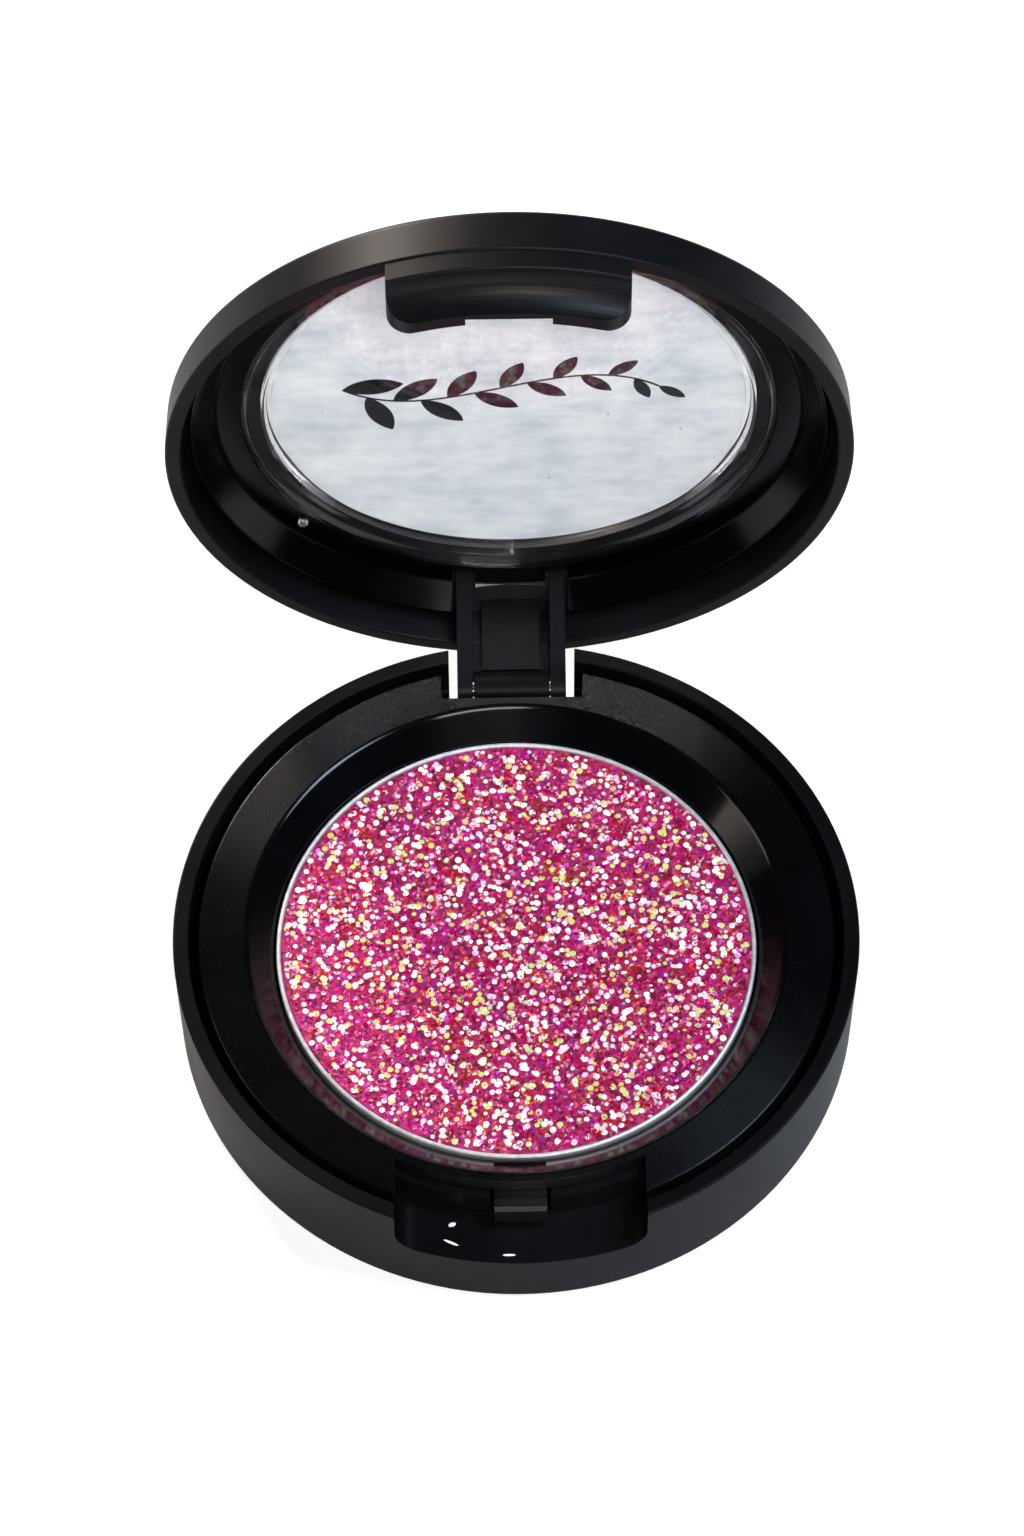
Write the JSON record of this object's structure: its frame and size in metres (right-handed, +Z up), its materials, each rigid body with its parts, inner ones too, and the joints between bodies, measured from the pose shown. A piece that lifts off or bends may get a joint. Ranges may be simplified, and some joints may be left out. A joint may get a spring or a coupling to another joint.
{
  "type": "eyeshadow compact",
  "caption": "Round makeup compact: pressed glitter cake in a metal pan in a black base, hinged lid with a clear printed window, and a front finger tab over a catch.",
  "frame": {"origin": "centre of the round base, on the surface that it stands on", "axes": "+Z up; +Y towards the hinge at the back; +X to the right when facing the finger tab from the front"},
  "size_m": [0.052, 0.0621, 0.056],
  "materials": {
    "outer_black": "soft satin black with a fine moulded grain",
    "inner_black": "satin black",
    "pan_metal": "bright stamped metal",
    "glue": "translucent glue",
    "glitter": "pressed magenta glitter with gold, violet and silver flakes",
    "under_label": "plain white paper label",
    "pin_steel": "drawn steel wire",
    "lid_black": "soft satin black with a fine moulded grain",
    "liner_black": "glossy black",
    "clear_plastic": "clear moulded plastic",
    "printed_film": "silvery white printed film"
  },
  "bodies": {
    "base": {"base_shell": "outer_black", "base_frame": "inner_black", "eyeshadow_pan": "pan_metal", "pan_glue": "glue", "glitter_cake": "glitter", "base_label": "under_label"},
    "lid": {"lid_shell": "lid_black", "lid_liner": "liner_black", "lid_window": "clear_plastic", "lid_label": "printed_film", "hinge_pin": "pin_steel"}
  },
  "joints": [
    {"name": "lid_hinge", "type": "hinge", "parent": "base", "child": "lid", "pos_m": [0, 0.0245, 0.0056], "axis": [1, 0, 0], "range_deg": [0, 91]}
  ]
}
